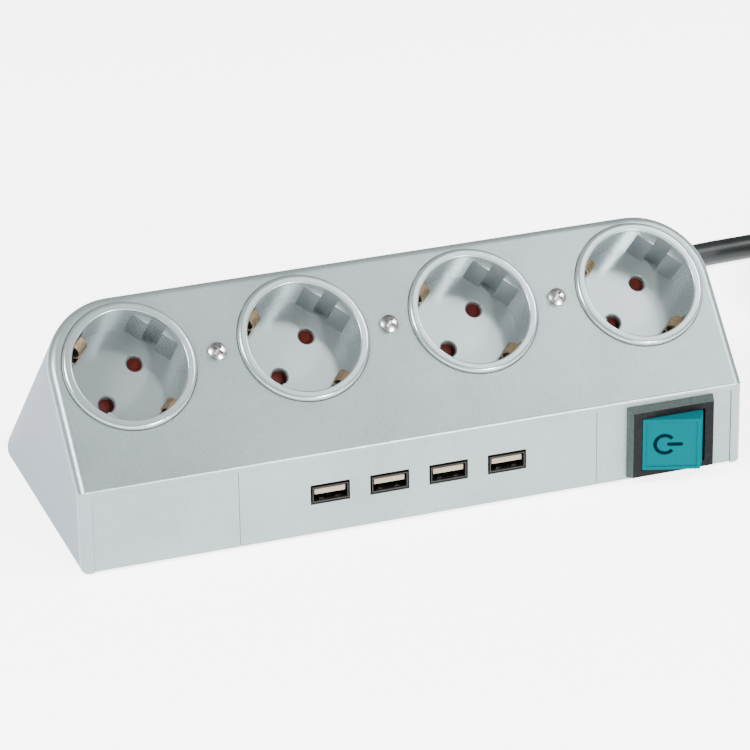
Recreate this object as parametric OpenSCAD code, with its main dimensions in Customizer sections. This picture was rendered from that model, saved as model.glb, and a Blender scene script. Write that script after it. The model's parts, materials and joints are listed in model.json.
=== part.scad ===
// Desk power strip: a sloping housing with four earthed sockets, four USB
// ports, a rocker switch and a mains lead. Millimetres, +Z up, the front at -Y.
// The origin is the centre of the housing's footprint on the table.

/* [Housing] */
// Length of the housing, end to end
body_l = 247; // [244:1:252]
// Height of the upright front band
fold_z = 31; // [30:0.5:32]
// Length of the sloping face, from the fold to the ridge
face_v = 70; // [69.5:0.5:71]
// Slope of the face above the table, in degrees
slope = 45; // [44:0.5:46]
// Radius of the two rear corners, seen square to the face
corner_r = 26.5; // [26:0.5:27]
// Wall thickness of the cover
wall = 2.2; // [2:0.1:2.4]
// Rounding of the cover's outer edges
edge_r = 3.2; // [2.6:0.1:3.4]
// Rounding of the fold between the face and the front band
fold_r = 1.8; // [1.2:0.1:2.2]
// Rounding of the lower corners at the cover's ends
foot_r = 1.8; // [1:0.1:2]
// Width of the cover's return strip at each end of the front band
strip_w = 4.5; // [4:0.5:5]
// Height of the rubber feet below the cover's rim
foot_h = 0.8; // [0.6:0.1:1.2]

/* [Sockets] */
// Distance between neighbouring socket centres
pitch = 63.5; // [63:0.1:64]
// Distance of the socket centres up the face from the fold
socket_v = 43; // [42.8:0.1:43.2]
// Inside radius of a socket recess
recess_r = 20.3; // [20:0.1:20.4]
// Depth of a socket recess
recess_d = 17.5; // [17:0.1:18]
// Outside radius of the rim round a recess
rim_r = 23.7; // [23.5:0.1:23.9]
// Height of a rim above the face
rim_h = 1.6; // [1.4:0.1:1.8]
// Distance of each pin hole from the socket centre
pin_offset = 9.5; // [9.5:0.1:9.6]
// Direction of the pin holes, up from the length of the strip, in degrees
pin_turn = 45; // [40:1:50]
// Radius of a pin hole
pin_hole_r = 2.9; // [2.7:0.1:3]

/* [Front band] */
// Distance between neighbouring USB ports
usb_pitch = 22; // [20:0.5:23]
// Height of the USB port centres above the cover's rim
usb_z = 15.4; // [15:0.1:16]
// Seam between the blank panel and the USB panel, from the middle
seam_left = -66.3; // [-68:0.1:-64]
// Seam between the USB panel and the switch panel, from the middle
seam_right = 67.1; // [66:0.1:68]
// Middle of the rocker switch along the strip
switch_x = 95.2; // [94.5:0.1:96]
// Middle of the rocker switch above the cover's rim
switch_z = 14.9; // [14.7:0.1:15]
// Tilt of the rocker each way, in degrees
rocker_tilt = 18; // [14:1:18]

/* [Mains lead] */
// Outside diameter of the mains lead
cord_d = 9.5; // [9:0.5:10]
// Heading of the lead where it leaves the housing, in degrees from +X
gland_turn = 55; // [50:1:60]

/* [Hidden] */
$fn = 64;
far = 200;

// The rocker switch: flat face, its distance before the pivot, heights
rocker_w = 20.5;
rocker_face = 7.2;
rocker_h = 19.8;
rocker_wall = 1.5;
arm_tilt = 8;
arm_pivot = 12.2;
pole_z = 6;
bezel_front = 3.5;

// The housing's footprint runs from the rocker's raised edge to the rear edge
rear_y = face_v * cos(slope) + (fold_z + face_v * sin(slope)) * tan(slope);
front_y = -(rocker_face * cos(rocker_tilt) + rocker_w / 2 * sin(rocker_tilt));
mid_y = (rear_y + front_y) / 2;

// Levels below the face, measured square to it
floor_t = 2.6;
shutter_t = 1.6;
floor_n = recess_d + floor_t;
shutter_n = floor_n + 0.3;
guide_n = floor_n + 4;
guide_t = 1.5;
earth_n = guide_n + guide_t + 0.3;
carrier_n = guide_n + guide_t;
carrier_d = 13.9;
bar_n = carrier_n + carrier_d - 2.35;
cup_r = recess_r + 1.7;
carrier_half_v = 17.8;
carrier_half_u = 1.5 * pitch + 17.4;

// Front band
panel_y = 0.35;
panel_t = 2;
seam = 0.09;
panel_top = fold_z - 2.2;
board_z = usb_z - 2.9;
board_t = 1.6;
base_top = 2.4;
base_screw_at = [[-116.5, 10], [116.5, 10], [-70, 104], [70, 104]];
board_screw_at = [[-38, 33], [38, 33]];

// Where the lead crosses the cover, and where it is clamped inside
gland_at = [110, 53, 13];
boot_l = 28;
clamp_back = 26;
sheath_back = 42;

// The lead: its route to the coil, the coil and the route on to the plug
lead_route = [[126, 76, 13], [131.5, 82.8, 12.2], [137.5, 88.9, 10.6], [144.5, 94.3, 8.8],
  [152, 98.7, 7.2], [160, 102, 5.9], [168.5, 104.4, 5.1], [177, 105.8, 4.75],
  [186, 106.5, 4.75], [195, 106.8, 4.75], [204, 107.2, 4.75], [215, 108, 4.8],
  [226, 109, 5.1], [236, 109.7, 5.5], [246, 109.7, 5.55]];
plug_route = [[301.7, 54, 15.05], [301.7, 44, 14.2], [301.7, 34, 11.8], [301.7, 24, 8.8],
  [301.7, 14, 6.1], [301, 5, 5.2], [298.6, -4, 5.7], [293.3, -12.5, 7.7], [286, -19.5, 11],
  [277, -24.5, 14.2], [268.3, -27.2, 17.2], [260, -28, 19]];
coil_at = [246, 54, 0];
coil_mid_r = 46;
coil_half = 14.5;
coil_z = 0.8;
coil_h = 2 * cord_d;
plug_at = [260, -28, 19];
plug_r = 19;

silver = [0.72, 0.75, 0.77];
socket_grey = [0.66, 0.69, 0.7];
copper = [0.8, 0.55, 0.38];
steel = [0.75, 0.75, 0.76];
black = [0.1, 0.1, 0.11];

// ---- Places -------------------------------------------------------------

// Cover frame: y = 0 is the front band, z = 0 the cover's lower rim
module in_cover() translate([0, -mid_y, foot_h]) children();

// Face frame: x along the strip, y up the slope from the fold, z out of it
module on_face() in_cover() translate([0, 0, fold_z]) rotate([slope, 0, 0]) children();

// Socket k's own frame, on the face at its centre
module at_socket(k) on_face() translate([(k - 1.5) * pitch, socket_v, 0]) children();

// USB port k's own frame: x across, y into the housing, z up
module at_port(k) in_cover() translate([(k - 1.5) * usb_pitch, 0, usb_z]) children();

// The switch's frame: the origin is the middle of the rocker's pivot
module at_switch() in_cover() translate([switch_x, 0, switch_z]) children();

// The gland's frame: z runs outwards along the lead
module at_gland() translate(gland_at) rotate([0, 0, gland_turn]) rotate([0, 90, 0])
  children();

// The midpoints between neighbouring sockets, where the cover screws sit
module at_screws() on_face() for (i = [-1, 0, 1]) translate([i * pitch, socket_v, 0])
  children();

// ---- General shapes -----------------------------------------------------

// A box given by its lowest and highest corners
module block(low, high) translate(low) cube(high - low);

// A flat strip of thickness t that follows points in the plane, with mitred bends
function unit(a) = a / norm(a);
function edge(p, i, t) = let (a = unit(p[max(i, 1)] - p[max(i, 1) - 1]),
  b = i < len(p) - 1 ? unit(p[i + 1] - p[i]) : a, m = unit(a + b))
  p[i] + t / 2 / (m * a) * [-m.y, m.x];
module strip2d(p, t) polygon([for (i = [0 : len(p) - 1]) edge(p, i, t),
  for (i = [len(p) - 1 : -1 : 0]) edge(p, i, -t)]);

// A round tube along a route, as one closed polyhedron
function along(p, i) = unit(p[min(i + 1, len(p) - 1)] - p[max(i - 1, 0)]);
function side_of(d) = unit(cross(d, abs(d.z) < 0.9 ? [0, 0, 1] : [1, 0, 0]));
function ring(p, i, r, sides) = let (d = along(p, i), a = side_of(d), b = cross(d, a))
  [for (s = [0 : sides - 1]) let (w = 360 * s / sides) p[i] + r * (cos(w) * a + sin(w) * b)];
module tube(p, r, sides) {
  n = len(p);
  polyhedron(
    points = [for (i = [0 : n - 1]) each ring(p, i, r, sides)],
    faces = [[for (s = [0 : sides - 1]) s],
      [for (s = [sides - 1 : -1 : 0]) (n - 1) * sides + s],
      for (i = [0 : n - 2], s = [0 : sides - 1]) let (t = (s + 1) % sides)
        [i * sides + s, (i + 1) * sides + s, (i + 1) * sides + t, i * sides + t]]);
}

// ---- Housing ------------------------------------------------------------

// Half section of the slab under the face, w wide, with its outer edge rounded
module slab_section(w, g, r) {
  translate([0, -far]) square([w, far - g - r]);
  translate([0, -far]) square([w - r, far - g]);
  translate([w - r, -g - r]) circle(r);
}

// The slab square to the face, inset by g all round, its upper edges rounded by r
module slab(g, r) {
  half = body_l / 2 - g;
  top = face_v - g;
  cr = corner_r - g;
  low = 60;
  rotate([90, 0, 90]) translate([0, 0, cr - half]) linear_extrude(2 * (half - cr))
    translate([-low, 0]) slab_section(top + low, g, r);
  for (m = [0, 1]) mirror([m, 0, 0]) translate([half - cr, top - cr, 0]) {
    rotate([90, 0, 0]) linear_extrude(top - cr + low) slab_section(cr, g, r);
    rotate_extrude(angle = 90) slab_section(cr, g, r);
  }
}

// Side view of the space behind the front band and under the rounded fold
module band_section(g, r) {
  c = [g + r, fold_z + (g + r) * tan(slope) - (g + r) / cos(slope)];
  touch = c + r * [-sin(slope), cos(slope)];
  rise = slope + 1;
  polygon([[g, -5], [far, -5], [far, far], touch + far * [cos(rise), sin(rise)],
    touch, c, [g, c.y]]);
  translate(c) circle(r);
}

// The housing's outer form inset by g, above the height z0
module housing_form(g, edge, fold, z0) intersection() {
  on_face() slab(g, edge);
  in_cover() rotate([90, 0, 90]) translate([0, 0, -far]) linear_extrude(2 * far)
    band_section(g, fold);
  in_cover() block([-far, -far, z0], [far, far, far]);
}

// An outline as long as the housing, its two corners at y = 0 rounded by r
module end_outline(r) {
  half = body_l / 2;
  translate([-half, r]) square([2 * half, far]);
  translate([r - half, 0]) square([2 * (half - r), far]);
  for (s = [-1, 1]) translate([s * (half - r), r]) circle(r);
}

module top_cover() color(silver) {
  half = body_l / 2 - strip_w;
  difference() {
    intersection() {
      housing_form(0, edge_r, fold_r, 0);
      in_cover() translate([0, far, 0]) rotate([90, 0, 0]) linear_extrude(2 * far)
        end_outline(foot_r);
      in_cover() translate([0, 0, -1]) linear_extrude(far) end_outline(edge_r);
    }
    housing_form(wall, 0.6, 0.6, -3);
    in_cover() block([-half, -1, -1], [half, wall + 1, panel_top + 0.2]);
    for (k = [0 : 3]) at_socket(k) translate([0, 0, -5]) cylinder(r = rim_r + 0.25, h = 10);
    at_screws() translate([0, 0, -5]) cylinder(r = 1.7, h = 10);
    at_gland() translate([0, 0, -15]) cylinder(r = 7.25, h = 30);
  }
  intersection() {
    housing_form(wall / 2, 0.8, 0.8, 0);
    in_cover() for (p = base_screw_at) translate([p.x, p.y, base_top]) difference() {
      cylinder(r = 3.2, h = 60);
      translate([0, 0, -1]) cylinder(r = 1.25, h = 11);
    }
  }
}

module base_plate() color(black) {
  difference() {
    housing_form(wall + 0.25, 0.6, 0.6, 0.4);
    in_cover() block([-far, -far, base_top], [far, far, far]);
    in_cover() for (p = base_screw_at) translate([p.x, p.y, 0]) {
      cylinder(r = 1.6, h = 5);
      translate([0, 0, 0.3]) cylinder(r1 = 3.1, r2 = 1.6, h = 1.5);
    }
  }
  in_cover() for (p = board_screw_at) translate([p.x, p.y, base_top]) difference() {
    cylinder(r = 2.8, h = board_z - board_t - base_top);
    translate([0, 0, 1]) cylinder(r = 0.85, h = 20);
  }
  difference() {
    at_clamp() block([-10.5, -4, base_top + foot_h - gland_at.z - 0.4], [10.5, 4, -0.3]);
    at_gland() translate([0, 0, -far / 2]) cylinder(r = cord_d / 2, h = far / 2);
    at_clamp() for (s = [-1, 1]) translate([s * 7.5, 0, -8]) cylinder(r = 1.25, h = 20);
  }
}

// A blank plate of the front band between two places along it
module front_plate(x0, x1) in_cover()
  block([x0, panel_y, 0.3], [x1, panel_y + panel_t, panel_top]);

module blank_panel() color(silver) front_plate(strip_w + 0.15 - body_l / 2, seam_left - seam);

module usb_panel() color(silver) difference() {
  front_plate(seam_left + seam, seam_right - seam);
  for (k = [0 : 3]) at_port(k) block([-7.25, -1, -3.75], [7.25, 5, 3.75]);
}

module switch_panel() color(silver) difference() {
  front_plate(seam_right + seam, body_l / 2 - strip_w - 0.15);
  at_switch() block([-14.15, -1, -11.85], [14.15, 5, 11.85]);
}

module rubber_feet() color(black) in_cover() for (p = [[-104, 14], [104, 14], [-90, 96], [90, 96]])
  translate([p.x, p.y, -foot_h]) cylinder(r = 6, h = foot_h + 0.4);

module base_screws() color(steel) in_cover() for (p = base_screw_at) translate([p.x, p.y, 0.4])
  difference() {
    union() {
      cylinder(r1 = 2.9, r2 = 1.4, h = 1.5);
      cylinder(r = 1.2, h = 9);
    }
    for (a = [0, 90]) rotate(a) translate([-1.6, -0.3, -1]) cube([3.2, 0.6, 1.9]);
  }

// ---- Sockets ------------------------------------------------------------

// Rim of a socket: a collar with a small inner and a larger outer rounding
module rim_section() {
  inner = 0.6;
  outer = 1.4;
  low = -wall - 1;
  translate([recess_r, low]) square([rim_r - recess_r, rim_h - outer - low]);
  translate([recess_r, low]) square([rim_r - recess_r - outer, rim_h - inner - low]);
  translate([recess_r + inner, low]) square([rim_r - recess_r - inner - outer, rim_h - low]);
  translate([recess_r + inner, rim_h - inner]) circle(inner);
  translate([rim_r - outer, rim_h - outer]) circle(outer);
}

module socket_cup() color(socket_grey) {
  difference() {
    union() {
      rotate_extrude() rim_section();
      translate([0, 0, -guide_n]) cylinder(r = cup_r, h = guide_n - wall);
      intersection() {
        translate([0, 0, -wall - 2]) cylinder(r = 25, h = 2);
        block([-26, -26, -far], [26, 24.2, far]);
      }
    }
    translate([0, 0, -recess_d]) cylinder(r = recess_r, h = far);
    translate([0, 0, -far - floor_n]) cylinder(r = recess_r, h = far);
    rotate(pin_turn) for (s = [-1, 1]) translate([s * pin_offset, 0, -25]) {
      cylinder(r = pin_hole_r, h = 15);
      translate([0, 0, 25 - recess_d - 0.5]) cylinder(r1 = pin_hole_r, r2 = pin_hole_r + 0.6, h = 0.6);
    }
    rotate(pin_turn + 90) for (s = [0, 180]) rotate(s)
      block([17.2, -3, -guide_n - 1], [21.5, 3, -2.8]);
  }
  rotate(pin_turn) for (s = [0, 180]) rotate(s) difference() {
    intersection() {
      block([17.8, -10, -recess_d - 0.5], [21, 10, -1.8]);
      translate([0, 0, -far / 2]) cylinder(r = recess_r + 0.5, h = far);
    }
    block([17, -3, -recess_d], [22, 3, 0]);
  }
  translate([0, 0, 0.3 - guide_n]) cylinder(r = 2, h = 4.2);
}

module pin_shutter() color([0.5, 0.09, 0.07]) rotate(pin_turn) {
  translate([0, 0, -shutter_n - shutter_t]) linear_extrude(shutter_t) difference() {
    union() {
      circle(5);
      intersection() {
        circle(13.4);
        union() {
          polygon([[0, 0], [20, -8.9], [20, 8.9]]);
          polygon([[0, 0], [-20, -8.9], [-20, 8.9]]);
        }
      }
    }
    circle(2.06);
  }
  translate([7.5, 0, 0.6 - guide_n]) cylinder(r = 0.8, h = guide_n - shutter_n - shutter_t - 0.5);
}

// Return spring of a shutter: an open ring of wire with two legs
module shutter_spring() rotate(pin_turn + 11) translate([0, 0, 0.95 - guide_n]) {
  rotate_extrude(angle = 280) translate([3.2, 0]) circle(0.35);
  rotate([0, 90, 0]) translate([0, 0, 3.2]) cylinder(r = 0.35, h = 5.4);
  rotate(280) rotate([0, 90, 0]) translate([0, 0, 3.2]) cylinder(r = 0.35, h = 5.4);
}

module shutter_springs() color(steel) for (k = [0 : 3]) at_socket(k) shutter_spring();

module guide_plate() color([0.85, 0.85, 0.82]) difference() {
  on_face() translate([0, socket_v, 0]) block([-carrier_half_u, -carrier_half_v, -guide_n - guide_t],
    [carrier_half_u, carrier_half_v, -guide_n]);
  for (k = [0 : 3]) at_socket(k) rotate(pin_turn) translate([0, 0, -30]) {
    for (s = [-1, 1]) translate([s * pin_offset, 0, 0]) cylinder(r = 3.2, h = 20);
    for (s = [0, 180]) rotate(90 + s) block([16.5, -2.8, 0], [20.8, 2.8, 20]);
  }
  at_screws() translate([0, 0, -30]) cylinder(r = 4.2, h = 20);
}

module contact_carrier() color([0.85, 0.85, 0.82]) difference() {
  union() {
    on_face() translate([0, socket_v, 0]) difference() {
      block([-carrier_half_u, -carrier_half_v, -carrier_n - carrier_d],
        [carrier_half_u, carrier_half_v, -carrier_n]);
      block([1.5 - carrier_half_u, 1.5 - carrier_half_v, -carrier_n - carrier_d + 1.5],
        [carrier_half_u - 1.5, carrier_half_v - 1.5, 1]);
    }
    at_screws() translate([0, 0, -carrier_n - carrier_d]) cylinder(r = 4, h = carrier_n + carrier_d - wall);
  }
  at_screws() translate([0, 0, -14]) cylinder(r = 1.55, h = 20);
  for (p = lead_ends) on_face() translate([p.x, p.y, -60]) cylinder(r = 1.8, h = 25);
}

// Where the three inner leads come up through the carrier, on the face's plane
bar_v = pin_offset * sin(pin_turn);
bar_u = pin_offset * cos(pin_turn);
lead_ends = [[77, socket_v - bar_v], [60, socket_v + bar_v], [46, socket_v]];

// A bar with a pair of spring leaves round each pin; side is -1 or 1
module busbar(side) color(copper) on_face() translate([0, socket_v + side * bar_v, 0]) {
  block([-1.5 * pitch - 12, -2.4, -bar_n - 0.8], [1.5 * pitch + 12, 2.4, -bar_n]);
  for (k = [0 : 3], s = [-1, 1]) translate([(k - 1.5) * pitch + side * bar_u, 0, 0])
    block([s * 2.9 - 0.4, -2.2, -bar_n - 0.4], [s * 2.9 + 0.4, 2.2, 1.2 - earth_n - 2.2]);
}

module earth_rail() color(copper) {
  difference() {
    on_face() translate([0, socket_v, 0])
      block([-1.5 * pitch - 6, -2, -earth_n - 0.8], [1.5 * pitch + 6, 2, -earth_n]);
    at_screws() translate([0, 0, -40]) cylinder(r = 4.2, h = 30);
  }
  on_face() for (i = [-1, 0, 1]) translate([i * pitch, socket_v, -earth_n - 0.8]) linear_extrude(0.8)
    strip2d([[-9, 0], [-6.3, 6.3], [6.3, 6.3], [9, 0]], 2.4);
}

// One earth contact: a bridge under the socket with a sprung blade at each end
module earth_clip() rotate(pin_turn + 90) rotate([90, 0, 0]) translate([0, 0, -2.2])
  linear_extrude(4.4) {
    base = -earth_n - 1.2;
    translate([-19.9, base - 0.35]) square([39.8, 0.7]);
    for (m = [0, 1]) mirror([m, 0]) strip2d([[19.9, base], [19.9, -18], [19.3, -16.6], [17.9, -14.6],
      [17.1, -12.6], [17, -10.9], [17.6, -9.2], [18.8, -8], [20.3, -7.4]], 0.7);
  }

module earth_clips() color(copper) for (k = [0 : 3]) at_socket(k) earth_clip();

// Cross-slotted pan head and shank, head down to the plane z = 0
module pan_screw(head_r, head_h, shank_r, length) difference() {
  union() {
    intersection() {
      cylinder(r = head_r, h = head_h);
      translate([0, 0, head_h - 2 * head_r]) sphere(r = 2 * head_r);
    }
    translate([0, 0, -length]) cylinder(r = shank_r, h = length + 0.5);
  }
  for (a = [45, 135]) rotate(a)
    block([-0.6 * head_r, -0.14 * head_r, head_h / 3], [0.6 * head_r, 0.14 * head_r, 9]);
}

module cover_screws() color(steel) at_screws() pan_screw(3.2, 2.1, 1.45, 12);

// ---- USB ports and their power supply -----------------------------------

module usb_port() color([0.45, 0.43, 0.4]) {
  difference() {
    block([-6.6, 0.2, -2.9], [6.6, 14, 2.9]);
    block([-6.25, -1, -2.55], [6.25, 13.6, 2.55]);
    for (s = [-1, 1]) block([s * 3 - 1.1, 3, -4], [s * 3 + 1.1, 9, 0]);
  }
  for (s = [-1, 1]) block([s * 3 - 0.8, 1.6, -2.7], [s * 3 + 0.8, 8, -2.1]);
}

module usb_tongues() color([0.93, 0.9, 0.82]) for (k = [0 : 3]) at_port(k)
  block([-5.6, 0.9, -0.1], [5.6, 13.4, 1.8]);

module usb_contacts() color([0.85, 0.7, 0.35]) for (k = [0 : 3], i = [0 : 3]) at_port(k)
  block([-4.05 + i * 2.5 - 0.15, 2, -0.25], [-3.45 + i * 2.5 + 0.15, 12, -0.1]);

module usb_board() color([0.1, 0.35, 0.2]) in_cover() difference() {
  block([-42, 3.5, board_z - board_t], [42, 37, board_z]);
  for (p = board_screw_at) translate([p.x, p.y, 0]) cylinder(r = 1.3, h = 30);
}

module usb_transformer() color([0.75, 0.65, 0.3]) in_cover() {
  block([-24, 20, board_z], [-8, 33, board_z + 2]);
  block([-22, 21, board_z + 2], [-10, 32, board_z + 9]);
  block([-24, 23.5, board_z + 9], [-8, 29.5, board_z + 11]);
}

module usb_capacitors() color([0.2, 0.25, 0.5]) in_cover()
  for (x = [6, 17, 28]) translate([x, 25.5, board_z]) {
    cylinder(r = 4, h = 9.5);
    cylinder(r = 4.2, h = 1);
  }

module usb_controller() color(black) in_cover() for (x = [-33, -1])
  block([x - 3, 18.5, board_z], [x + 2, 22.5, board_z + 1.5]);

module board_screws() color(steel) in_cover() for (p = board_screw_at) translate([p.x, p.y, board_z])
  pan_screw(2.2, 1.4, 0.8, 7);

// ---- Rocker switch ------------------------------------------------------

module switch_housing() color(black) at_switch() difference() {
  union() {
    hull() {
      block([-16.5, panel_y - 0.4, -13.7], [16.5, panel_y, 13.7]);
      block([-15.5, -bezel_front, -12.7], [15.5, -bezel_front + 0.4, 12.7]);
    }
    block([-14, 0, -11.7], [14, 22, 11.7]);
  }
  block([-12.2, -9, -10.3], [12.2, 20.5, 10.3]);
  cylinder(r = 1.25, h = 23.6, center = true);
  for (z = [-pole_z, pole_z], x = [-8, 0]) block([x - 0.45, 19, z - 2.45], [x + 0.45, 30, z + 2.45]);
}

// A piece of the rocker's body, as it stands at rest with its left side pressed
module rocked() at_switch() rotate(-rocker_tilt) children();

module switch_rocker() color([0, 0.6, 0.63]) rocked() {
  side = rocker_w / 2;
  difference() {
    union() {
      linear_extrude(rocker_h, center = true) polygon([[-side, -rocker_face], [side, -rocker_face],
        [11.6, -1.5], [11.6, 3], [-11.6, 3], [-11.6, -1.5]]);
      cylinder(r = 1.2, h = 23, center = true);
    }
    linear_extrude(rocker_h - 2 * rocker_wall, center = true) polygon([[1.4 - side, rocker_wall - rocker_face],
      [side - 1.4, rocker_wall - rocker_face], [10.1, -1.2], [10.1, 4], [-10.1, 4], [-10.1, -1.2]]);
    block([1.1 - side, -10, 1.1 - rocker_h / 2],
      [side - 1.1, 0.3 - rocker_face, rocker_h / 2 - 1.1]);
  }
  for (z = [-pole_z, pole_z]) translate([0, 0, z]) rotate([-90, 0, 0]) difference() {
    translate([0, 0, rocker_wall - rocker_face - 0.3]) cylinder(r = 2.3, h = 10.5);
    translate([0, 0, -4]) cylinder(r = 1.45, h = 20);
  }
}

module switch_plungers() color(steel) rocked() for (z = [-pole_z, pole_z])
  translate([0, 2, z]) rotate([-90, 0, 0]) {
    cylinder(r = 1.4, h = 7.6);
    translate([0, 0, 7.6]) sphere(r = 1.4);
  }

module plunger_springs() color(steel) rocked() for (z = [-pole_z, pole_z])
  translate([0, -3.9, z]) rotate([-90, 0, 0]) rotate_extrude()
    for (i = [0 : 10]) translate([1, 0.28 + i * 0.534]) circle(0.28);

module switch_contact_arms() color(copper) at_switch() translate([0, arm_pivot, 0]) rotate(arm_tilt)
  for (z = [-pole_z, pole_z]) translate([0, 0, z - 2]) linear_extrude(4)
    {
    strip2d([[-9, -0.1], [-5, -0.3], [-2.6, -1.1], [0, -0.3], [2.6, -1.1], [5, -0.3],
      [9, -0.1]], 0.8);
    circle(0.5);
  }

module switch_terminals() color(copper) at_switch() for (z = [-pole_z, pole_z]) {
  block([-0.4, arm_pivot + 0.8, z - 2.4], [0.4, 31, z + 2.4]);
  block([-9.5, arm_pivot + 1.6, z - 2.4], [-6.5, arm_pivot + 2.4, z + 2.4]);
  block([-8.4, arm_pivot + 2, z - 2.4], [-7.6, 31, z + 2.4]);
}

module switch_lamp() color([0.95, 0.6, 0.4]) at_switch() rotate([-90, 0, 0]) {
  translate([0, 0, -1]) cylinder(r = 2, h = 21.5);
  translate([0, 0, -1]) sphere(r = 2);
}

// ---- Mains lead inside the housing --------------------------------------

module at_clamp() at_gland() translate([0, 0, -clamp_back]) rotate([0, -90, 0]) rotate([0, 0, 90])
  children();

module cable_gland() color(black) at_gland() difference() {
  union() {
    translate([0, 0, -14]) cylinder(r = 7.2, h = 19);
    translate([0, 0, -16]) cylinder(r = 9, h = 2.5);
    translate([0, 0, 5]) cylinder(r1 = 7.2, r2 = 5.9, h = boot_l - 5);
  }
  translate([0, 0, -20]) cylinder(r = cord_d / 2, h = 60);
}

module inner_sheath() color(black) at_gland() translate([0, 0, -sheath_back])
  cylinder(r = cord_d / 2, h = sheath_back + boot_l);

module cord_clamp() color([0.85, 0.85, 0.82]) difference() {
  at_clamp() block([-10.5, -4, 0.3], [10.5, 4, 6.5]);
  at_gland() translate([0, 0, -far / 2]) cylinder(r = cord_d / 2, h = far / 2);
  at_clamp() for (s = [-1, 1]) translate([s * 7.5, 0, -1]) cylinder(r = 1.6, h = 20);
}

module clamp_screws() color(steel) at_clamp() for (s = [-1, 1]) translate([s * 7.5, 0, 6.5])
  pan_screw(2.6, 1.8, 1.2, 13);

sheath_end = gland_at - sheath_back * [cos(gland_turn), sin(gland_turn), 0];

// Row-frame place of a point on the face's own axes
function from_face(u, v, n) = [u, v * cos(slope) - n * sin(slope) - mid_y,
  fold_z + v * sin(slope) + n * cos(slope) + foot_h];
module inner_lead(route, end) {
  up = from_face(end.x, end.y, -bar_n - 8);
  tube([each route, up, from_face(end.x, end.y, -bar_n - 0.85)], 1.3, 8);
}

module live_lead() color([0.4, 0.22, 0.12]) {
  tube([sheath_end + [1.3, -1.2, -1.6], [86, 8, 9.5], [92, -8, 8.5], [95, -20, 9.2],
    [switch_x, 31.05 - mid_y, switch_z - pole_z + foot_h]], 1.3, 8);
  inner_lead([[switch_x - 8, 31.05 - mid_y, switch_z - pole_z + foot_h], [87, -22, 9.5],
    [85, -8, 9.5], [81, 3, 14]], lead_ends[0]);
}

module neutral_lead() color([0.15, 0.25, 0.6]) {
  tube([sheath_end + [1.3, -1.2, 1.6], [89, 8, 13.5], [98, -6, 13.5], [97, -20, 18],
    [switch_x, 31.05 - mid_y, switch_z + pole_z + foot_h]], 1.3, 8);
  inner_lead([[switch_x - 8, 31.05 - mid_y, switch_z + pole_z + foot_h], [86, -20, 17],
    [79, -6, 13.5], [65, 12, 22]], lead_ends[1]);
}

module earth_lead() color([0.55, 0.65, 0.1]) {
  up = from_face(lead_ends[2].x, lead_ends[2].y, -bar_n - 8);
  tube([sheath_end + [-1.8, -1, 0], [74, 14, 9], [57, 12, 10], [47, 8, 18], up,
    from_face(lead_ends[2].x, lead_ends[2].y, -earth_n - 0.85)], 1.3, 8);
}

// ---- Mains lead outside, its coil and its plug --------------------------

module mains_cable() color(black) tube(lead_route, cord_d / 2, 12);
module plug_cable() color(black) tube(plug_route, cord_d / 2, 12);

module cable_coil() color(black) translate(coil_at) rotate_extrude()
  translate([coil_mid_r - coil_half, coil_z]) square([2 * coil_half, coil_h]);

module cable_tie() color([0.3, 0.3, 0.32]) translate(coil_at) rotate(217) rotate_extrude(angle = 16)
  difference() {
    translate([coil_mid_r - coil_half - 1.2, 0]) square([2 * coil_half + 2.4, coil_z + coil_h + 1.2]);
    translate([coil_mid_r - coil_half, coil_z]) square([2 * coil_half, coil_h]);
  }

// The plug's frame: z runs from the lead's end towards the pins
module at_plug() translate(plug_at) rotate([0, -90, 0]) children();

module plug_body() color(black) at_plug() difference() {
  union() {
    cylinder(r1 = 6.2, r2 = 8.5, h = 24);
    translate([0, 0, 22]) cylinder(r1 = 10, r2 = 17, h = 16);
    translate([0, 0, 38]) cylinder(r1 = 17, r2 = plug_r, h = 4);
    translate([0, 0, 42]) cylinder(r = plug_r, h = 18);
  }
  for (s = [-1, 1]) {
    translate([s * 19.6 - 3, -4.5, 41]) cube([6, 9, 30]);
    translate([-3, s * 19.6 - 3, 44]) cube([6, 6, 30]);
  }
}

module plug_pins() color(steel) at_plug() for (s = [-1, 1]) translate([0, s * pin_offset, 60]) {
  cylinder(r = 2.4, h = 17.5);
  translate([0, 0, 17.5]) cylinder(r1 = 2.4, r2 = 1.4, h = 1.5);
}

module plug_earth_strips() color(copper) at_plug() for (s = [-1, 1])
  translate([s * 17 - 0.4, -3.5, 41]) cube([0.8, 7, 19]);

// ---- Nodes --------------------------------------------------------------

top_cover();
base_plate();
blank_panel();
usb_panel();
switch_panel();
for (k = [0 : 3]) {
  at_socket(k) socket_cup();
  at_socket(k) pin_shutter();
  at_port(k) usb_port();
}
shutter_springs();
guide_plate();
contact_carrier();
busbar(-1);  // live_busbar
busbar(1);  // neutral_busbar
earth_rail();
earth_clips();
cover_screws();
base_screws();
board_screws();
rubber_feet();
usb_tongues();
usb_contacts();
usb_board();
usb_transformer();
usb_capacitors();
usb_controller();
switch_housing();
switch_rocker();
switch_plungers();
plunger_springs();
switch_contact_arms();
switch_terminals();
switch_lamp();
cable_gland();
cord_clamp();
clamp_screws();
inner_sheath();
live_lead();
neutral_lead();
earth_lead();
mains_cable();
cable_coil();
cable_tie();
plug_cable();
plug_body();
plug_pins();
plug_earth_strips();
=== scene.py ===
"""Desk power strip: materials, detailed pieces, mains lead, light and camera."""
import json
import math

import bmesh
import bpy
from mathutils import Matrix, Vector


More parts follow.
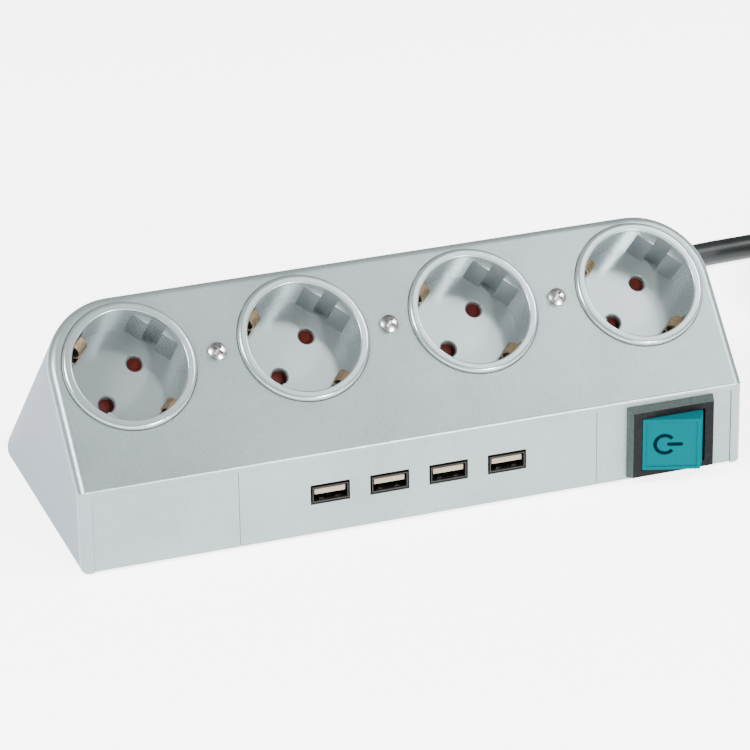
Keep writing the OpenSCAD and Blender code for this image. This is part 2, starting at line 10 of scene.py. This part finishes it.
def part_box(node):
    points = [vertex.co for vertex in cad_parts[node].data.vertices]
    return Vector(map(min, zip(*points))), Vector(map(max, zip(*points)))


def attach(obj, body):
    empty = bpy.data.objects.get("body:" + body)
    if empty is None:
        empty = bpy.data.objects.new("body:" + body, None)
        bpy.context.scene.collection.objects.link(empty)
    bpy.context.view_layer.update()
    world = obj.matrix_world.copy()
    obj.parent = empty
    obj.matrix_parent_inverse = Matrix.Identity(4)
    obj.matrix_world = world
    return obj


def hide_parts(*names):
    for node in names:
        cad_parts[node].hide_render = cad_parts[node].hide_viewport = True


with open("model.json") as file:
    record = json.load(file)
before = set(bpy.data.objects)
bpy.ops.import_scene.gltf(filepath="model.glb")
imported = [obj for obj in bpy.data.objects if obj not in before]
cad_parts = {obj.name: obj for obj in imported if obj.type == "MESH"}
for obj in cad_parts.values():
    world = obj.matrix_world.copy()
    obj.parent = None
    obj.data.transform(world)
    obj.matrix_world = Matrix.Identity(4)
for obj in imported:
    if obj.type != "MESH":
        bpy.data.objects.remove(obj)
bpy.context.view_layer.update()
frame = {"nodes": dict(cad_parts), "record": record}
nodes = frame["nodes"]

MM = 0.001
SLOPE = math.radians(45)
FOOT_H = 0.8
FRONT_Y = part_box("top_cover")[0][1] / MM      # where the front band is in the scene


def cover(x, y, z):
    """A point given in mm from the foot of the front band, in metres of the scene."""
    return Vector((x, y + FRONT_Y, z + FOOT_H)) * MM


# ---- Materials -------------------------------------------------------------------

SLOW_SCALE = 28.0          # noise scale of the slow changes of tone
BUMP_DEPTH = 0.0004        # metres
COAT_ROUGH = 0.12
LEAST_ROUGH = 0.02


class Nodes:
    """A short way to build one node material."""

    def __init__(self, name):
        self.mat = bpy.data.materials.new(name)
        self.mat.use_nodes = True
        self.tree = self.mat.node_tree
        self.shader = self.tree.nodes["Principled BSDF"]
        self.coords = self.tree.nodes.new("ShaderNodeTexCoord").outputs["Object"]

    def add(self, kind, inputs=(), **props):
        node = self.tree.nodes.new(kind)
        for key, value in props.items():
            setattr(node, key, value)
        for key, value in dict(inputs).items():
            if isinstance(value, bpy.types.NodeSocket):
                self.tree.links.new(value, node.inputs[key])
            else:
                node.inputs[key].default_value = value
        return node

    def link(self, output, name):
        self.tree.links.new(output, self.shader.inputs[name])

    def set(self, **values):
        for name, value in values.items():
            self.shader.inputs[name.replace("_", " ")].default_value = value

    def noise(self, scale, detail=2.0, rough=0.5):
        return self.add("ShaderNodeTexNoise",
                        {"Vector": self.coords, "Scale": scale, "Detail": detail,
                         "Roughness": rough}).outputs["Fac"]

    def ramp(self, fac, stops):
        node = self.add("ShaderNodeValToRGB", {"Fac": fac})
        elements = node.color_ramp.elements
        elements[0].position, elements[1].position = stops[0][0], stops[-1][0]
        elements[0].color, elements[1].color = stops[0][1], stops[-1][1]
        for place, colour in stops[1:-1]:
            elements.new(place).color = colour
        return node.outputs["Color"]

    def bump(self, height, strength):
        return self.add("ShaderNodeBump", {"Height": height, "Strength": strength,
                                           "Distance": BUMP_DEPTH}).outputs["Normal"]


def rgba(colour, gain=1.0):
    return (colour[0] * gain, colour[1] * gain, colour[2] * gain, 1.0)


def finish(name, colour, rough, metal=0.0, speck=0.06, speck_scale=900.0, wear=0.04,
           bump=0.08, bump_scale=1500.0, coat=0.0, **extra):
    """A surface with fine speckle, slow changes of tone and a fine bump."""
    m = Nodes(name)
    fine = m.noise(speck_scale, 3.0, 0.6)
    slow = m.noise(SLOW_SCALE, 3.0, 0.55)
    both = m.add("ShaderNodeMath", {0: fine, 1: slow}, operation="ADD").outputs[0]
    half = m.add("ShaderNodeMath", {0: both, 1: 0.5}, operation="MULTIPLY").outputs[0]
    m.link(m.ramp(half, [(0.32, rgba(colour, 1 - speck)), (0.5, rgba(colour)),
                         (0.68, rgba(colour, 1 + speck))]), "Base Color")
    spread = m.add("ShaderNodeMapRange", {"Value": half, "From Min": 0.3, "From Max": 0.7,
                                          "To Min": max(rough - wear, LEAST_ROUGH),
                                          "To Max": rough + wear})
    m.link(spread.outputs[0], "Roughness")
    m.link(m.bump(m.noise(bump_scale), bump), "Normal")
    m.set(Metallic=metal, Coat_Weight=coat, **extra)
    if coat:
        m.set(Coat_Roughness=COAT_ROUGH)
    return m.mat


DULL = {"Specular_IOR_Level": 0.15}
MATS = {
    "silver_shell": finish("silver_shell", (0.172, 0.206, 0.204), 0.33, metal=0.55,
                           speck=0.14, speck_scale=1500, bump=0.14, bump_scale=2400,
                           Specular_IOR_Level=0.2),
    "socket_grey": finish("socket_grey", (0.225, 0.262, 0.268), 0.22, metal=0.6,
                          speck=0.03, wear=0.01, bump=0.0, coat=0.3),
    "shutter_red": finish("shutter_red", (0.045, 0.004, 0.002), 0.5, speck=0.2, **DULL),
    "black_plastic": finish("black_plastic", (0.006, 0.006, 0.007), 0.4, speck=0.2, **DULL),
    "black_rubber": finish("black_rubber", (0.010, 0.010, 0.010), 0.75, speck=0.2, bump=0.3,
                           **DULL),
    "cord_black": finish("cord_black", (0.008, 0.010, 0.010), 0.42, speck=0.15, bump=0.12,
                         Specular_IOR_Level=0.25),
    "plated_steel": finish("plated_steel", (0.42, 0.42, 0.41), 0.26, metal=1.0),
    "dark_nickel": finish("dark_nickel", (0.011, 0.009, 0.008), 0.34, metal=0.6),
    "tongue_cream": finish("tongue_cream", (0.23, 0.195, 0.14), 0.5, speck=0.05, **DULL),
    "contact_copper": finish("contact_copper", (0.58, 0.40, 0.24), 0.24, metal=1.0),
    "gold_contact": finish("gold_contact", (0.60, 0.40, 0.12), 0.25, metal=1.0),
    "board_green": finish("board_green", (0.015, 0.07, 0.035), 0.35, speck=0.2, coat=0.5),
    "transformer_tape": finish("transformer_tape", (0.35, 0.25, 0.03), 0.45),
    "capacitor_sleeve": finish("capacitor_sleeve", (0.012, 0.02, 0.08), 0.30),
    "rocker_teal": finish("rocker_teal", (0.0, 0.060, 0.070), 0.5, speck=0.05, bump=0.02,
                          Specular_IOR_Level=0.0),
    "lamp_glass": finish("lamp_glass", (0.6, 0.2, 0.1), 0.08, speck=0.02),
    "inner_white": finish("inner_white", (0.4, 0.4, 0.37), 0.5),
    "lead_brown": finish("lead_brown", (0.08, 0.03, 0.012), 0.45),
    "lead_blue": finish("lead_blue", (0.01, 0.035, 0.18), 0.45),
    "lead_green": finish("lead_green", (0.13, 0.22, 0.01), 0.45),
    "tie_grey": finish("tie_grey", (0.018, 0.018, 0.02), 0.6, bump=0.4, bump_scale=900),
}

for part in frame["record"]["subparts"]:
    mesh = nodes[part["node"]].data
    mesh.materials.clear()
    mesh.materials.append(MATS[part["material_slot"]])

# Painted shade: the cover's ends, rounded corners and rear wall are coloured bluer and darker
# than its face, standing in for the shade they get from the light; they are also duller
SQUARE = 0.05              # largest cosine to the face's normal that counts as square to it
cover_mesh = nodes["top_cover"].data
cover_mesh.materials.append(finish("silver_sides_painted_shade", (0.118, 0.145, 0.172), 0.5, speck=0.05,
                                   Specular_IOR_Level=0.08))
OUT_OF_FACE = Vector((0, -math.sin(SLOPE), math.cos(SLOPE)))
# Faces square to the face take the painted shade
for polygon in cover_mesh.polygons:
    if abs(polygon.normal.dot(OUT_OF_FACE)) < SQUARE:
        polygon.material_index = 1


# ---- Switch: painted reflection as a grey edge round the bezel, symbol on the rocker ---

SWITCH = cover(95.2, 0, 14.9)
SWITCH_TILT = math.radians(-18)          # of the rocker at rest, about the upright axis
BEZEL_HALF = (15.45 * MM, 12.65 * MM)    # black part, outside which the painted reflection (grey edge) starts
ROCKER_FACE = 6.9                        # from the rocker's axis to its front
SYMBOL_X = -2.4
SYMBOL_DEPTH, SYMBOL_PROUD = 0.06, 0.04
RING_OUT, RING_IN = 4.1, 2.8
BAR_START, BAR_END, BAR_HALF = 1.5, 5.9, 0.65


def painted_reflection_mask(m, centre, half):
    """1 outside a rectangle round centre, seen along Y, and 0 inside it."""
    xyz = m.add("ShaderNodeSeparateXYZ", {0: m.coords})
    out = []
    for axis, size in (("X", half[0]), ("Z", half[1])):
        place = centre.x if axis == "X" else centre.z
        off = m.add("ShaderNodeMath", {0: xyz.outputs[axis], 1: place}, operation="SUBTRACT")
        far = m.add("ShaderNodeMath", {0: off.outputs[0]}, operation="ABSOLUTE")
        out.append(m.add("ShaderNodeMath", {0: far.outputs[0], 1: size},
                         operation="GREATER_THAN").outputs[0])
    return m.add("ShaderNodeMath", {0: out[0], 1: out[1]}, operation="MAXIMUM").outputs[0]


bezel = Nodes("bezel")
inner = bezel.ramp(bezel.noise(700.0, 3.0), [(0.3, rgba((0.004, 0.004, 0.005))),
                                             (0.7, rgba((0.007, 0.007, 0.008)))])
# Painted reflection: the chamfered edge of the black bezel is coloured grey-green, standing
# in for the bright sky it would reflect
painted_edge_reflection = bezel.ramp(bezel.noise(700.0, 3.0), [(0.3, rgba((0.030, 0.040, 0.037))),
                                             (0.7, rgba((0.040, 0.052, 0.049)))])
# Sockets of the colour mix: 6 and 7 are its two colours, and 2 is its result
mixed = bezel.add("ShaderNodeMix", {"Factor": painted_reflection_mask(bezel, SWITCH, BEZEL_HALF),
                                    6: inner, 7: painted_edge_reflection}, data_type="RGBA")
bezel.link(mixed.outputs[2], "Base Color")
bezel.link(bezel.bump(bezel.noise(1500.0), 0.1), "Normal")
bezel.set(Roughness=0.4, Specular_IOR_Level=0.04)
nodes["switch_housing"].data.materials[0] = bezel.mat


def piece(name, bm, matrix, material, body):
    """The object made from a bmesh, riding on its body."""
    bmesh.ops.recalc_face_normals(bm, faces=bm.faces)
    mesh = bpy.data.meshes.new(name)
    bm.to_mesh(mesh)
    bm.free()
    mesh.materials.append(material)
    obj = bpy.data.objects.new(name, mesh)
    bpy.context.scene.collection.objects.link(obj)
    obj.matrix_world = matrix
    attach(obj, body)
    return obj


def plate(outlines, depth):
    """A thin prism over each flat outline in the XZ plane, its front at y = 0."""
    bm = bmesh.new()
    for ring in outlines:
        front = [bm.verts.new((x * MM, 0, z * MM)) for x, z in ring]
        rear = [bm.verts.new((x * MM, depth * MM, z * MM)) for x, z in ring]
        bm.faces.new(front)
        bm.faces.new(rear[::-1])
        for i in range(len(ring)):
            j = (i + 1) % len(ring)
            bm.faces.new((front[j], front[i], rear[i], rear[j]))
    return bm


def power_symbol():
    """A ring open to the right and a bar through the opening."""
    arc = [math.radians(40 + 280 * i / 48) for i in range(49)]
    ring = [(RING_OUT * math.cos(a), RING_OUT * math.sin(a)) for a in arc]
    ring += [(RING_IN * math.cos(a), RING_IN * math.sin(a)) for a in reversed(arc)]
    cap = [math.radians(-90 + 180 * i / 12) for i in range(13)]
    bar = [(BAR_END + BAR_HALF * math.cos(a), BAR_HALF * math.sin(a)) for a in cap]
    bar += [(BAR_START - BAR_HALF * math.cos(a), -BAR_HALF * math.sin(a)) for a in cap]
    return [ring, bar]


rocked = Matrix.Translation(SWITCH) @ Matrix.Rotation(SWITCH_TILT, 4, "Z")
on_face = Matrix.Translation(Vector((SYMBOL_X, -ROCKER_FACE - SYMBOL_PROUD, 0)) * MM)
piece("switch_symbol", plate(power_symbol(), SYMBOL_DEPTH), rocked @ on_face,
      finish("symbol_ink", (0.0, 0.007, 0.009), 0.7, Specular_IOR_Level=0.0),
      "rocker")


# ---- Mains lead -------------------------------------------------------------------

def lathe(profile, sides=48):
    """A solid turned about Z from a closed profile of (radius, height) points."""
    bm = bmesh.new()
    rings = []
    for k in range(sides):
        a = 2 * math.pi * k / sides
        rings.append([bm.verts.new((q * MM * math.cos(a), q * MM * math.sin(a), z * MM))
                      for q, z in profile])
    for k in range(sides):
        here, there = rings[k], rings[(k + 1) % sides]
        for i in range(len(profile)):
            j = (i + 1) % len(profile)
            bm.faces.new((here[i], there[i], there[j], here[j]))
    return bm


def facing(way, place):
    """The frame at a place in mm whose Z runs along way."""
    turned = Vector((0, 0, 1)).rotation_difference(way).to_matrix().to_4x4()
    return Matrix.Translation(place * MM) @ turned


def smooth(points, step):
    """Points along a Catmull-Rom curve through the given ones, about step apart."""
    p = [points[0] * 2 - points[1]] + points + [points[-1] * 2 - points[-2]]
    out = []
    for i in range(1, len(p) - 2):
        count = max(1, round((p[i + 1] - p[i]).length / step))
        for k in range(count):
            t = k / count
            out.append(0.5 * (2 * p[i] + (p[i + 1] - p[i - 1]) * t
                              + (2 * p[i - 1] - 5 * p[i] + 4 * p[i + 1] - p[i + 2]) * t * t
                              + (3 * p[i] - p[i - 1] - 3 * p[i + 1] + p[i + 2]) * t ** 3))
    return out + [p[-2]]


# All of these places are in mm of the scene
GLAND = Vector((110, 53, 13))
GLAND_TURN = math.radians(55)
OUT = Vector((math.cos(GLAND_TURN), math.sin(GLAND_TURN), 0))
BOOT = 28.0                # length of the gland's boot
IN_BOOT = 2.0              # how far inside its end the lead starts
CORD_R = 4.75
ROUTE_STEP = 2.5
LEAD = [(131.5, 82.8, 12.2), (137.5, 88.9, 10.6), (144.5, 94.3, 8.8), (152, 98.7, 7.2),
        (160, 102, 5.9), (168.5, 104.4, 5.1), (177, 105.8, 4.75), (186, 106.5, 4.75),
        (195, 106.8, 4.75), (204, 107.2, 4.75), (215, 108, 4.8), (226, 109, 5.1),
        (236, 109.7, 5.5)]
PLUG_RUN = [(301.7, 44, 14.2), (301.7, 34, 11.8), (301.7, 24, 8.8), (301.7, 14, 6.1),
            (301, 5, 5.2), (298.6, -4, 5.7), (293.3, -12.5, 7.7), (286, -19.5, 11),
            (277, -24.5, 14.2), (268.3, -27.2, 17.2), (260, -28, 19)]
COIL = Vector((246, 54, 0))
LOW, HIGH = 5.55, 15.05            # heights of the coil's two layers
WIDE, NARROW = 55.42, 36.6         # radii at its outside and inside


def turns(start, count, r0, r1, z0, z1):
    """Points of a flat spiral, clockwise from the start angle, 20 to a turn."""
    total = round(count * 20)
    for i in range(total):
        t = i / total
        a = math.radians(start - 360 * count * t)
        yield COIL + Vector(((r0 + (r1 - r0) * t) * math.cos(a),
                             (r0 + (r1 - r0) * t) * math.sin(a), z0 + (z1 - z0) * t))


route = [GLAND + OUT * (BOOT - IN_BOOT)] + [Vector(p) for p in LEAD]
route += turns(90, 2, WIDE, NARROW, LOW, LOW)
route += turns(90, 0.25, NARROW, NARROW, LOW, HIGH)
route += turns(0, 2, NARROW, WIDE, HIGH, HIGH)
route += [COIL + Vector((WIDE, 0, HIGH))] + [Vector(p) for p in PLUG_RUN]
route = smooth([p * MM for p in route], ROUTE_STEP * MM)

line = bpy.data.curves.new("mains_lead", "CURVE")
line.dimensions = "3D"
spline = line.splines.new("POLY")
spline.points.add(len(route) - 1)
for point, place in zip(spline.points, route):
    point.co = (*place, 1.0)
    point.radius = 1.0
spline.use_smooth = True
line.bevel_depth = CORD_R * MM
line.bevel_resolution = 6
line.use_fill_caps = True
line.materials.append(MATS["cord_black"])
lead = bpy.data.objects.new("mains_lead", line)
bpy.context.scene.collection.objects.link(lead)
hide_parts("mains_cable", "cable_coil", "plug_cable")
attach(lead, "housing")

# Boot of the gland: flange, body through the wall, and a taper cut by bending grooves
FLANGE_R, BODY_R = 9, 7.2
FLANGE_FROM, FLANGE_TO, TAPER_FROM = -16, -13.5, 6.2
boot = [(CORD_R, FLANGE_FROM), (FLANGE_R, FLANGE_FROM), (FLANGE_R, FLANGE_TO),
        (BODY_R, FLANGE_TO), (BODY_R, TAPER_FROM)]
for i in range(6):
    z, r = TAPER_FROM + 3.5 * i, 7.13 - 0.198 * i
    boot += [(r - 0.8, z + 0.35), (r - 0.85, z + 1.1), (r - 0.1, z + 1.4), (r - 0.1, z + 3.3)]
boot += [(5.85, BOOT - 0.5), (5.6, BOOT), (CORD_R, BOOT)]
gland = piece("gland_boot", lathe(boot), facing(OUT, GLAND), MATS["cord_black"],
              "housing")
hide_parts("cable_gland")

# Neck of the plug, which widens towards the plug in five rings
rings = [(5.5, 1.0)]
for i in range(5):
    z, r = 2.0 + 4.0 * i, 6.6 + 0.385 * i
    rings += [(r - 0.1, z), (r + 0.35, z + 0.4), (r + 0.5, z + 2.0), (r + 0.2, z + 2.4)]
rings += [(8, 21.5)]
neck = piece("plug_neck", lathe(rings), facing(Vector((-1, 0, 0)), Vector(PLUG_RUN[-1])),
             MATS["cord_black"], "housing")


# ---- Floor, light and camera -------------------------------------------------------

FLOOR_HALF = 4             # metres
FLOOR_DROP = 0.00005
floor_mesh = bpy.data.meshes.new("floor")
floor_mesh.from_pydata([(x * FLOOR_HALF, y * FLOOR_HALF, 0)
                        for x, y in ((-1, -1), (1, -1), (1, 1), (-1, 1))], [], [(0, 1, 2, 3)])
floor = bpy.data.objects.new("floor", floor_mesh)
bpy.context.scene.collection.objects.link(floor)
floor_mesh.materials.append(finish("floor", (0.86, 0.86, 0.86), 0.9, speck=0.0, bump=0.0,
                                   Emission_Color=(1, 1, 1, 1), Emission_Strength=4.0))
floor.location.z = -FLOOR_DROP

# The sky is brighter on the left than on the right
SKY_LEFT, SKY_RIGHT = 0.5, 0.2
world = bpy.data.worlds.new("studio")
bpy.context.scene.world = world
world.use_nodes = True
sky = world.node_tree
direction = sky.nodes.new("ShaderNodeTexCoord").outputs["Generated"]
axes = sky.nodes.new("ShaderNodeSeparateXYZ")
sky.links.new(direction, axes.inputs[0])
shade = sky.nodes.new("ShaderNodeMapRange")
sky.links.new(axes.outputs["X"], shade.inputs["Value"])
for end, value in (("From Min", -1), ("From Max", 1), ("To Min", SKY_LEFT),
                   ("To Max", SKY_RIGHT)):
    shade.inputs[end].default_value = value
sky.links.new(shade.outputs[0], sky.nodes["Background"].inputs["Strength"])
sky.nodes["Background"].inputs["Color"].default_value = (0.95, 0.975, 1.0, 1)


def area_light(name, place, size, power):
    """A square light at place, aimed at the object's middle, in metres and watts."""
    data = bpy.data.lights.new(name, "AREA")
    data.shape, data.size, data.energy = "SQUARE", size, power
    lamp = bpy.data.objects.new(name, data)
    lamp.location = place
    lamp.rotation_euler = (MIDDLE - Vector(place)).to_track_quat("-Z", "Y").to_euler()
    bpy.context.scene.collection.objects.link(lamp)


MIDDLE = Vector((0, 0, 0.04))
area_light("key", (1.15, -0.45, 1.35), 0.7, 44)
area_light("gloss", (0.52, -0.66, 1.45), 0.3, 2)
area_light("left_edge", (-1.04, -0.45, 1.12), 0.5, 58)
area_light("front_edge", (0.5, -1.45, 0.48), 0.16, 40)

CAM_AZ, CAM_EL, CAM_ROLL = -19.173, 25.335, -0.837      # degrees
CAM_DIST, CAM_LENS, CAM_SENSOR = 1.4781, 200.58, 36.0   # metres, mm, mm
CAM_TARGET = cover(-5.61, 30, 42.83)
az, el, roll = (math.radians(a) for a in (CAM_AZ, CAM_EL, CAM_ROLL))
back = Vector((math.sin(az) * math.cos(el), -math.cos(az) * math.cos(el), math.sin(el)))
right = Vector((math.cos(az), math.sin(az), 0))
up = back.cross(right)
right, up = (right * math.cos(roll) + up * math.sin(roll),
             up * math.cos(roll) - right * math.sin(roll))
camera = bpy.data.objects.new("camera", bpy.data.cameras.new("camera"))
bpy.context.scene.collection.objects.link(camera)
camera.data.lens, camera.data.sensor_width = CAM_LENS, CAM_SENSOR
camera.data.clip_start, camera.data.clip_end = 0.05, 20
placed = Matrix((right, up, back)).transposed().to_4x4()
placed.translation = CAM_TARGET + back * CAM_DIST
camera.matrix_world = placed
bpy.context.scene.camera = camera
